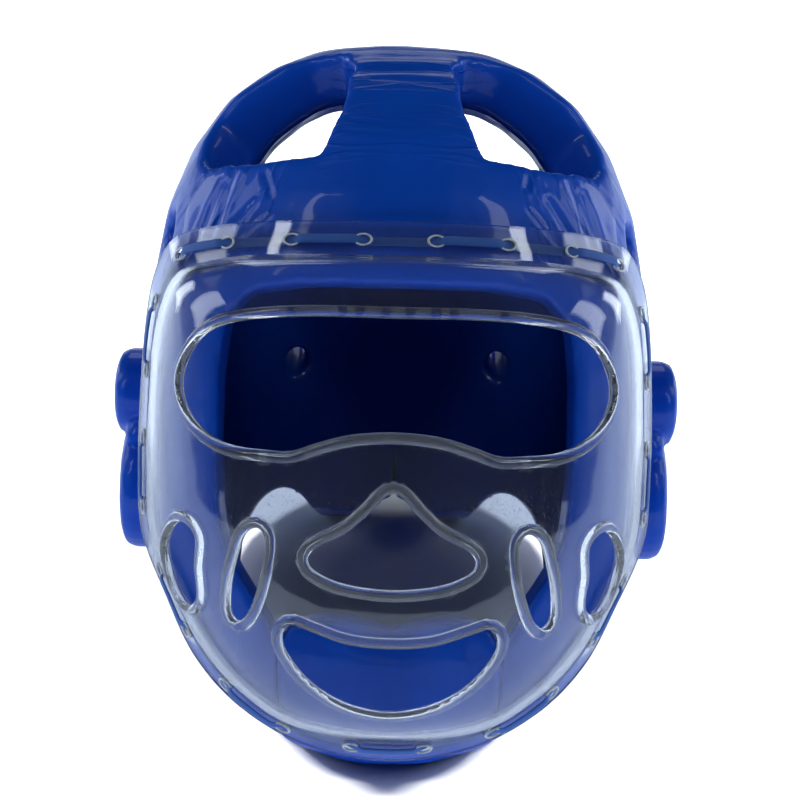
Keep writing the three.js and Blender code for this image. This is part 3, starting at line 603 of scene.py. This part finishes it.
# The shield's seat, from the top middle to the bottom middle: degrees round and share of the height, first
# of the flange's edge and then of the bend where the dome begins.
seatRows = [
    (0, 0.447, 0, 0.35), (24, 0.444, 24, 0.347), (42, 0.434, 40, 0.335), (56, 0.41, 51, 0.31),
    (65, 0.33, 57, 0.24), (69, 0.19, 60, 0.13), (70, 0, 61, -0.02), (70, -0.2, 61, -0.2),
    (70, -0.376, 61, -0.37), (69, -0.55, 59, -0.525), (65, -0.7, 55, -0.66), (57, -0.82, 46, -0.77),
    (38, -0.91, 31, -0.85), (0, -0.945, 0, -0.88),
]
outwardStep = {"turn": 0.04, "rise": 3}
shellRows = []
for height, width, front, back, middle in crownRows + jawRows:
    rise = shell["crown"] if height > 0 else shell["chin"]
    shellRows.append((height * rise, width * shell["halfWidth"], front * shell["front"],
                      back * shell["back"], middle * shell["front"]))


def softPower(value):
    return math.copysign(abs(value) ** (2 / shell["roundness"]), value)


def shellPoint(turn, height):
    height = min(max(height, shellRows[-1][0]), shellRows[0][0])
    lower = max(next(i for i, row in enumerate(shellRows) if row[0] <= height), 1)
    above, under = shellRows[lower - 1], shellRows[lower]
    share = (above[0] - height) / (above[0] - under[0])
    height, halfWidth, front, back, middle = [a + (b - a) * share for a, b in zip(above, under)]
    forward = softPower(math.cos(turn))
    reach = front - middle if forward > 0 else back + middle
    return Vector((halfWidth * softPower(math.sin(turn)), -middle - reach * forward, height))


def shellOutward(turn, height):
    across = shellPoint(turn + outwardStep["turn"], height) - shellPoint(turn - outwardStep["turn"], height)
    upward = shellPoint(turn, height + outwardStep["rise"]) - shellPoint(turn, height - outwardStep["rise"])
    return across.cross(upward).normalized()


shieldShape = {
    "thickness": 2.4, "reach": 150, "bellyDrop": 25, "fullness": 2.5, "lacingRoom": 2.2,
    "stations": 234, "bendRoom": 0.55, "cornerCuts": 2, "smoothAngle": 35,
}
# How far out each row of the dome lies, from the bend to the middle of the belly
domeRadials = [
    0.9995, 0.995, 0.985, 0.965, 0.935, 0.895, 0.845, 0.78, 0.7, 0.6, 0.5, 0.4, 0.3, 0.2, 0.1, 0.03,
]


def seatLine(blend):
    points = []
    for edgeTurn, edgeHeight, bendTurn, bendHeight in seatRows:
        turn = math.radians(edgeTurn + (bendTurn - edgeTurn) * blend)
        share = edgeHeight + (bendHeight - edgeHeight) * blend
        height = share * (shell["crown"] if share > 0 else shell["chin"])
        points.append(shellPoint(turn, height) + shellOutward(turn, height) * shieldShape["lacingRoom"])
    mirroredPoints = [Vector((-p.x, p.y, p.z)) for p in reversed(points[1:-1])]
    return points + mirroredPoints


def curvePoint(points, share):
    count = len(points)
    place = (share % 1) * count
    i = int(place)
    t = place - i
    a, b, c, d = [points[(i + k) % count] for k in (-1, 0, 1, 2)]
    squared = (a * 2 - b * 5 + c * 4 - d) * t ** 2
    cubed = (b * 3 - a - c * 3 + d) * t ** 3
    return (b * 2 + (c - a) * t + squared + cubed) / 2


edgeLine, lacingLine, bendLine = [seatLine(blend) for blend in (0, 0.5, 1)]
lineSteps = 2400
alongStep = 0.0005
lacingSamples = [curvePoint(lacingLine, i / lineSteps) for i in range(lineSteps + 1)]
lengths = np.cumsum([0] + [(b - a).length for a, b in zip(lacingSamples, lacingSamples[1:])])
lacingLength = float(lengths[-1])


def lacingSpot(share):
    t = float(np.interp((share % 1) * lacingLength, lengths, np.arange(lineSteps + 1))) / lineSteps
    point = curvePoint(lacingLine, t)
    along = (curvePoint(lacingLine, t + alongStep) - curvePoint(lacingLine, t - alongStep)).normalized()
    out = (curvePoint(bendLine, t) - curvePoint(edgeLine, t)).cross(along).normalized()
    if out.y > 0 and abs(out.y) > abs(out.x):
        out.negate()
    return {"t": t, "point": point, "along": along, "out": out, "across": along.cross(out).normalized()}


def domePoint(bend, radial, reach):
    forward = (1 - radial ** shieldShape["fullness"]) ** (1 / shieldShape["fullness"])
    drop = -shieldShape["bellyDrop"]
    return Vector((bend.x * radial, bend.y + (-reach - bend.y) * forward, drop + (bend.z - drop) * radial))


def cornerCut(points, times):
    for _ in range(times):
        cut = [points[0]]
        for a, b in zip(points, points[1:]):
            cut += [a * 0.75 + b * 0.25, a * 0.25 + b * 0.75]
        points = cut + [points[-1]]
    return points


def shieldSection(spot):
    edge = curvePoint(edgeLine, spot["t"])
    bend = curvePoint(bendLine, spot["t"])
    nearBend = spot["point"].lerp(bend, shieldShape["bendRoom"])
    reach = shieldShape["reach"] - shieldShape["thickness"]
    dome = [domePoint(bend, radial, reach) for radial in domeRadials]
    return cornerCut([edge, spot["point"], nearBend, bend] + dome, shieldShape["cornerCuts"])


# The dome starts as a flat grid whose rows are laid on the sections. Its two ends are merged and its pole is
# closed by a fan.
stations = shieldShape["stations"]
sections = [shieldSection(lacingSpot(i / stations)) for i in range(stations + 1)]
sectionCount = len(sections[0])
deselectAll()
bpy.ops.mesh.primitive_grid_add(x_subdivisions=sectionCount - 1, y_subdivisions=stations, size=1)
shield = bpy.context.object
shield.name = "clearShield"
gridPlaces = vertexPlaces(shield)
columns = np.rint((gridPlaces[:, 0] + 0.5) * (sectionCount - 1)).astype(int)
rows = np.rint((gridPlaces[:, 1] + 0.5) * stations).astype(int)
setPlaces(shield, np.array([uprightToRow @ sections[row][column] for row, column in zip(rows, columns)]))
cleanMesh(shield, merging["dome"])
makeActive(shield)
bpy.ops.object.mode_set(mode="EDIT")
bpy.ops.mesh.select_all(action="DESELECT")
bpy.ops.mesh.select_non_manifold(extend=False)
bpy.ops.object.mode_set(mode="OBJECT")
belly = uprightToRow @ Vector((0, -shieldShape["reach"], -shieldShape["bellyDrop"]))
poleReach, bellyReach = 30 * mm, 20 * mm
for vertex in shield.data.vertices:
    vertex.select = vertex.select and (vertex.co - belly).length < poleReach
for edge in shield.data.edges:
    edge.select = all(shield.data.vertices[corner].select for corner in edge.vertices)
bpy.ops.object.mode_set(mode="EDIT")
bpy.ops.mesh.edge_face_add()
bpy.ops.mesh.poke()
bpy.ops.mesh.select_all(action="SELECT")
bpy.ops.mesh.normals_make_consistent(inside=False)
bpy.ops.object.mode_set(mode="OBJECT")
bellyFaces = [face for face in shield.data.polygons if (face.center - belly).length < bellyReach]
bellyNormal = sum((face.normal for face in bellyFaces), Vector())
if bellyNormal.dot(leaning.to_3x3() @ Vector((0, -1, 0))) < 0:
    makeActive(shield)
    bpy.ops.object.mode_set(mode="EDIT")
    bpy.ops.mesh.select_all(action="SELECT")
    bpy.ops.mesh.flip_normals()
    bpy.ops.object.mode_set(mode="OBJECT")
addModifier(shield, "SOLIDIFY", thickness=shieldShape["thickness"] * mm, offset=1, use_even_offset=True)
print("dome laid out,", len(shield.data.polygons), "faces")


# Openings of the shield, in millimetres across and up. Outlines are shares of half the sizes: of the
# openings in the middle, the right half from top to bottom, and of the side vents, all of the right one.
openings = {
    "eyes": {"width": 161, "height": 50, "up": 5, "corners": 120, "outline": [
        (0, 1.0), (0.4, 1.0), (0.7, 0.93), (0.86, 0.78), (0.95, 0.5), (1.0, 0.08), (0.98, -0.32),
        (0.9, -0.68), (0.76, -0.93), (0.58, -1.0), (0.47, -1.0), (0.36, -0.88), (0.2, -0.74), (0, -0.69)]},
    "nose": {"width": 62, "height": 36, "up": -52, "corners": 72, "outline": [
        (0, 1.0), (0.12, 0.9), (0.3, 0.56), (0.55, 0.18), (0.92, -0.16), (1.0, -0.42), (0.9, -0.66),
        (0.55, -0.9), (0, -1.0)]},
    "mouth": {"width": 80, "height": 33, "up": -100, "corners": 80, "outline": [
        (0, 0.52), (0.4, 0.6), (0.75, 0.88), (0.92, 1.0), (1.0, 0.72), (0.93, 0.25), (0.72, -0.35),
        (0.4, -0.82), (0, -1.0)]},
}
sideVents = {
    "slot": {"width": 10, "length": 36, "place": 53, "up": -66, "corners": 48, "outline": [
        (-0.6, 1.0), (0.25, 0.85), (0.8, 0.4), (1.25, -0.2), (1.3, -0.75), (0.75, -1.0), (0.0, -0.85),
        (-0.7, -0.35), (-1.2, 0.3), (-1.25, 0.8)]},
    "bean": {"width": 13, "length": 33, "place": 78, "up": -64, "corners": 48, "outline": [
        (0.15, 1.0), (0.8, 0.8), (1.15, 0.35), (0.95, -0.2), (0.45, -0.75), (-0.3, -1.0), (-0.75, -0.7),
        (-0.6, 0), (-0.65, 0.65)]},
}
rim = {"halfWidth": 2.3, "halfDepth": 1.9, "sides": 12, "stepOut": 1.9, "proud": 0.5, "finishReach": 1.25}
outlineSteps = 1200
bendSteps = 800
cutting = {"from": -200, "length": 170}


def smoothLoop(outline, corners):
    points = [Vector((x, 0, z)) for x, z in outline]
    fine = [curvePoint(points, i / outlineSteps) for i in range(outlineSteps + 1)]
    along = np.cumsum([0] + [(b - a).length for a, b in zip(fine, fine[1:])])
    picks = np.interp(np.linspace(0, along[-1], corners, endpoint=False), along, np.arange(outlineSteps + 1))
    return [fine[int(round(pick))] for pick in picks]


bendSamples = [curvePoint(bendLine, i / bendSteps) for i in range(bendSteps)]
bendAngles = np.array([math.atan2(p.x, p.z + shieldShape["bellyDrop"]) for p in bendSamples])


def domeDepth(x, z):
    angle = math.atan2(x, z + shieldShape["bellyDrop"])
    gap = np.abs((bendAngles - angle + math.pi) % (2 * math.pi) - math.pi)
    bend = bendSamples[int(gap.argmin())]
    full = math.hypot(bend.x, bend.z + shieldShape["bellyDrop"])
    radial = min(math.hypot(x, z + shieldShape["bellyDrop"]) / (full + shieldShape["thickness"] / 2), 0.9995)
    forward = (1 - radial ** shieldShape["fullness"]) ** (1 / shieldShape["fullness"])
    middleReach = shieldShape["reach"] - shieldShape["thickness"] / 2
    return bend.y + (-middleReach - bend.y) * forward


def domeOutward(x, z):
    slopeX = (domeDepth(x + 1, z) - domeDepth(x - 1, z)) / 2
    slopeZ = (domeDepth(x, z + 1) - domeDepth(x, z - 1)) / 2
    return Vector((slopeX, -1, slopeZ)).normalized()


def cutterFor(outline, name):
    deselectAll()
    bpy.ops.mesh.primitive_circle_add(vertices=len(outline), radius=0.1, fill_type="NGON")
    cutter = bpy.context.object
    cutter.name = name
    for vertex, corner in zip(cutter.data.vertices, outline):
        vertex.co = uprightToRow @ Vector((corner.x, cutting["from"], corner.z))
    bpy.ops.object.mode_set(mode="EDIT")
    bpy.ops.mesh.select_all(action="SELECT")
    backwards = leaning.to_3x3() @ Vector((0, cutting["length"] * mm, 0))
    bpy.ops.mesh.extrude_region_move(TRANSFORM_OT_translate={"value": backwards})
    bpy.ops.mesh.select_all(action="SELECT")
    bpy.ops.mesh.normals_make_consistent(inside=False)
    bpy.ops.object.mode_set(mode="OBJECT")
    return cutter


def sweptLoop(rings, name):
    around = len(rings)
    sides = len(rings[0])
    deselectAll()
    bpy.ops.mesh.primitive_grid_add(x_subdivisions=around, y_subdivisions=sides, size=1)
    loop = bpy.context.object
    loop.name = name
    flat = vertexPlaces(loop)
    stepsAlong = np.rint((flat[:, 0] + 0.5) * around).astype(int) % around
    stepsRound = np.rint((flat[:, 1] + 0.5) * sides).astype(int) % sides
    setPlaces(loop, np.array([uprightToRow @ rings[a][b] for a, b in zip(stepsAlong, stepsRound)]))
    cleanMesh(loop, merging["loop"])
    return loop


rimLine = []


def rimAround(outline, name):
    count = len(outline)
    area = sum(p.x * q.z - q.x * p.z for p, q in zip(outline, outline[1:] + outline[:1]))
    rings = []
    for i, corner in enumerate(outline):
        before, after = outline[i - 1], outline[(i + 1) % count]
        outwards = Vector((after.z - before.z, 0, before.x - after.x)).normalized() * math.copysign(1, area)
        x, z = corner.x + outwards.x * rim["stepOut"], corner.z + outwards.z * rim["stepOut"]
        middle = Vector((x, domeDepth(x, z), z))
        rimLine.append(middle)
        facingOut = domeOutward(x, z)
        sideways = (outwards - facingOut * outwards.dot(facingOut)).normalized()
        ring = []
        for s in range(rim["sides"]):
            angle = 2 * math.pi * s / rim["sides"]
            ring.append(middle + sideways * (rim["halfWidth"] * math.cos(angle))
                        + facingOut * (rim["proud"] + rim["halfDepth"] * math.sin(angle)))
        rings.append(ring)
    return sweptLoop(rings, name)


outlines = {}
for name, opening in openings.items():
    half = [(x * opening["width"] / 2, opening["up"] + z * opening["height"] / 2)
            for x, z in opening["outline"]]
    whole = half + [(-x, z) for x, z in reversed(half[1:-1])]
    outlines[name] = smoothLoop(whole, opening["corners"])
for name, vent in sideVents.items():
    for side, sign in (("Left", -1), ("Right", 1)):
        whole = [(sign * (vent["place"] + x * vent["width"] / 2), vent["up"] + z * vent["length"] / 2)
                 for x, z in vent["outline"]]
        outlines[name + side] = smoothLoop(whole, vent["corners"])

# Lace holes through the flange, each with the edge that its punch raised and whitened
laceHoles = {
    "count": 26, "length": 6.5, "height": 4.4, "depth": 12, "middle": 1.2, "corners": 24,
    "edgeThickness": 0.085, "edgeDepth": 7, "edgeSides": 8, "edgeOut": 2.3,
}


def laidAt(spot, out, depth):
    turned = Matrix((spot["along"], spot["across"], spot["out"])).transposed().to_4x4()
    stretch = Matrix.Diagonal((laceHoles["length"], laceHoles["height"], depth, 1))
    return uprightToRow @ Matrix.Translation(spot["point"] + spot["out"] * out) @ turned @ stretch


eyeletRings = []
cutters = [cutterFor(outline, name + "Cutter") for name, outline in outlines.items()]
for hole in range(laceHoles["count"]):
    spot = lacingSpot((hole + 0.5) / laceHoles["count"])
    deselectAll()
    bpy.ops.mesh.primitive_cylinder_add(vertices=laceHoles["corners"], radius=0.5, depth=1)
    eyelet = bpy.context.object
    eyelet.name = f"eyeletCutter{hole}"
    eyelet.data.transform(laidAt(spot, laceHoles["middle"], laceHoles["depth"]))
    cleanMesh(eyelet, merging["hole"])
    cutters.append(eyelet)
    deselectAll()
    bpy.ops.mesh.primitive_torus_add(
        major_segments=laceHoles["corners"], minor_segments=laceHoles["edgeSides"],
        major_radius=0.5, minor_radius=laceHoles["edgeThickness"])
    ring = bpy.context.object
    ring.name = f"eyeletRing{hole}"
    ring.data.transform(laidAt(spot, laceHoles["edgeOut"], laceHoles["edgeDepth"]))
    cleanMesh(ring, merging["hole"])
    eyeletRings.append(ring)


# The pieces join or cut the shield all at once and are then gone.
def combineWithShield(pieces, operation, groupName):
    group = bpy.data.collections.new(groupName)
    bpy.context.scene.collection.children.link(group)
    for piece in pieces:
        bpy.context.scene.collection.objects.unlink(piece)
        group.objects.link(piece)
    addModifier(shield, "BOOLEAN", operation=operation, operand_type="COLLECTION", collection=group,
                solver="EXACT")
    for piece in pieces:
        bpy.data.objects.remove(piece)


combineWithShield(cutters, "DIFFERENCE", "shieldCutters")
print("openings cut,", len(shield.data.polygons), "faces")
rims = [rimAround(outline, name + "Rim") for name, outline in outlines.items()]
combineWithShield(rims, "UNION", "shieldRims")
dropFolds(shield)
makeActive(shield)
bpy.ops.object.shade_smooth_by_angle(angle=math.radians(shieldShape["smoothAngle"]))
dressPiece(shield, shieldFinish, "face_shield")
shield.data.materials.append(rimFinish)
rimTree = KDTree(len(rimLine))
for i, spot in enumerate(rimLine):
    rimTree.insert(uprightToRow @ spot, i)
rimTree.balance()
for face in shield.data.polygons:
    if rimTree.find(face.center)[2] < rim["halfWidth"] * rim["finishReach"] * mm:
        face.material_index = 1
print("rims joined,", len(shield.data.polygons), "faces")


# The punched edges are one piece of their own.
deselectAll()
for ring in eyeletRings:
    ring.select_set(True)
bpy.context.view_layer.objects.active = eyeletRings[0]
bpy.ops.object.join()
eyelets = bpy.context.object
eyelets.name = "eyeletEdges"
eyelets.data.materials.clear()
eyelets.data.materials.append(whitenedFinish)
bpy.ops.object.shade_smooth()
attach(eyelets, "root")


# Lace: one flat braid over the flange from a hole to the next and under it to the one after
lace = {"width": 3.5, "thickness": 1.2, "gap": 0.5, "stepsPerHole": 20, "sides": 12, "dip": 0.32}


def laceHeight(place):
    under = -shieldShape["lacingRoom"] / 2
    over = shieldShape["thickness"] + lace["thickness"] / 2 + lace["gap"]
    section = math.floor(place)
    share = place - section
    here, there = (over, under) if section % 2 == 0 else (under, over)
    nearest = min(share, 1 - share)
    pull = max(0.0, 1 - nearest / (lace["dip"] / 2))
    bend = 0.5 * pull * pull * (3 - 2 * pull)
    return here + (there - here) * bend


laceRings = []
steps = laceHoles["count"] * lace["stepsPerHole"]
for step in range(steps):
    place = step / lace["stepsPerHole"]
    spot = lacingSpot((place + 0.5) / laceHoles["count"])
    middle = spot["point"] + spot["out"] * laceHeight(place)
    ring = []
    for s in range(lace["sides"]):
        angle = 2 * math.pi * s / lace["sides"]
        ring.append(middle + spot["across"] * (lace["width"] / 2 * softPower(math.cos(angle)))
                    + spot["out"] * (lace["thickness"] / 2 * math.sin(angle)))
    laceRings.append(ring)
laceLoop = sweptLoop(laceRings, "shieldLace")
makeActive(laceLoop)
bpy.ops.object.shade_smooth()
dressPiece(laceLoop, laceFinish, "lace")
print("lace woven")


# Closing strap across the nape, from its CAD solid, with rounded edges and a weave laid flat on each side
closing = {"voxel": 0.9, "softening": 0.5, "smoothing": 5, "weaveSize": 0.1}
strap = copyOfNode("rear_strap", "closingStrap")
addModifier(strap, "REMESH", mode="VOXEL", voxel_size=closing["voxel"] * mm, use_smooth_shade=True)
addModifier(strap, "SMOOTH", factor=closing["softening"], iterations=closing["smoothing"])
makeActive(strap)
bpy.ops.object.mode_set(mode="EDIT")
bpy.ops.mesh.select_all(action="SELECT")
bpy.ops.uv.cube_project(cube_size=closing["weaveSize"])
bpy.ops.object.mode_set(mode="OBJECT")
bpy.ops.object.shade_smooth()
dressPiece(strap, elasticFinish, "rear_strap")
print("strap laid,", len(strap.data.polygons), "faces")


# Floor and studio light. The floor's own suns light it alone, and it throws back less light than it shows.
# Lamps hang round a target, at a turn from the front and a rise above the floor, both in degrees.
studio = {"floorShown": (0.9, 0.9, 0.9, 1), "floorThrownBack": (0.32, 0.37, 0.45, 1), "floorSize": 9,
          "surround": (0.006, 0.007, 0.008, 1), "wall": (1, 1, 1, 1), "target": (0, 0, 0.12),
          "lampColour": (0.92, 1.0, 1.05)}
lamps = {
    "frontLeftBox": {"turn": -58, "rise": 46, "away": 1.3, "size": (0.12, 0.9), "radiance": 6.4},
    "frontRightBox": {"turn": 58, "rise": 46, "away": 1.3, "size": (0.12, 0.9), "radiance": 6.4},
    "leftBox": {"turn": -100, "rise": 26, "away": 1.3, "size": (0.36, 0.8), "radiance": 2.8},
    "rightBox": {"turn": 100, "rise": 26, "away": 1.3, "size": (0.36, 0.8), "radiance": 2.8},
    "backLeftBox": {"turn": -127, "rise": 8, "away": 1.3, "size": (0.26, 0.5), "radiance": 3.2},
    "backRightBox": {"turn": 127, "rise": 8, "away": 1.3, "size": (0.26, 0.5), "radiance": 3.2},
    "backBox": {"turn": 180, "rise": 22, "away": 1.5, "size": (0.9, 0.5), "radiance": 1.2},
}
floorSuns = {
    "floorSunLeft": {"turn": -74, "rise": 48, "away": 3, "spread": 8, "strength": 4.9},
    "floorSunRight": {"turn": 74, "rise": 48, "away": 3, "spread": 8, "strength": 4.9},
}
deselectAll()
bpy.ops.mesh.primitive_plane_add(size=studio["floorSize"])
floor = bpy.context.object
floor.name = "paleFloor"
floorMaterial, floorNodes, floorLinks, _ = newMaterial("paleFloor")
shown = addNode(floorNodes, "ShaderNodeBsdfDiffuse", {"Color": studio["floorShown"]})
thrownBack = addNode(floorNodes, "ShaderNodeBsdfDiffuse", {"Color": studio["floorThrownBack"]})
seen = addNode(floorNodes, "ShaderNodeLightPath")
floorMix = addNode(floorNodes, "ShaderNodeMixShader")
floorLinks.new(seen.outputs["Is Camera Ray"], floorMix.inputs["Fac"])
floorLinks.new(thrownBack.outputs["BSDF"], floorMix.inputs[1])
floorLinks.new(shown.outputs["BSDF"], floorMix.inputs[2])
floorLinks.new(floorMix.outputs["Shader"], floorNodes["Material Output"].inputs["Surface"])
floor.data.materials.append(floorMaterial)
floorGroup = bpy.data.collections.new("litBySuns")
floorGroup.objects.link(floor)
world = bpy.data.worlds.new("studioSurround")
world.use_nodes = True
worldNodes, worldLinks = world.node_tree.nodes, world.node_tree.links
worldNodes["Background"].inputs["Color"].default_value = studio["surround"]
paleWall = addNode(worldNodes, "ShaderNodeBackground", {"Color": studio["wall"]})
wallSeen = addNode(worldNodes, "ShaderNodeLightPath")
wallMix = addNode(worldNodes, "ShaderNodeMixShader")
worldLinks.new(wallSeen.outputs["Is Camera Ray"], wallMix.inputs["Fac"])
worldLinks.new(worldNodes["Background"].outputs["Background"], wallMix.inputs[1])
worldLinks.new(paleWall.outputs["Background"], wallMix.inputs[2])
worldLinks.new(wallMix.outputs["Shader"], worldNodes["World Output"].inputs["Surface"])
bpy.context.scene.world = world
target = Vector(studio["target"])


def wayTo(lamp):
    turn, rise = math.radians(lamp["turn"]), math.radians(lamp["rise"])
    return Vector((math.cos(rise) * math.sin(turn), -math.cos(rise) * math.cos(turn), math.sin(rise)))


def hangLamp(name, kind, place):
    deselectAll()
    bpy.ops.object.light_add(type=kind, location=place)
    light = bpy.context.object
    light.name = name
    light.rotation_euler = (target - place).to_track_quat("-Z", "Y").to_euler()
    return light


for name, lamp in lamps.items():
    light = hangLamp(name, "AREA", target + wayTo(lamp) * lamp["away"])
    light.data.shape = "RECTANGLE"
    light.data.color = studio["lampColour"]
    light.data.size, light.data.size_y = lamp["size"]
    light.data.energy = lamp["radiance"] * math.pi * lamp["size"][0] * lamp["size"][1]
for name, sun in floorSuns.items():
    light = hangLamp(name, "SUN", target + wayTo(sun) * sun["away"])
    light.data.angle = math.radians(sun["spread"])
    light.data.energy = sun["strength"]
    light.light_linking.receiver_collection = floorGroup
bounces = {"all": 14, "through": 12, "glossy": 6}
scene = bpy.context.scene
scene.view_settings.view_transform = "Standard"
scene.cycles.use_denoising = True
scene.cycles.max_bounces = bounces["all"]
scene.cycles.transmission_bounces = bounces["through"]
scene.cycles.glossy_bounces = bounces["glossy"]
print("studio lit")
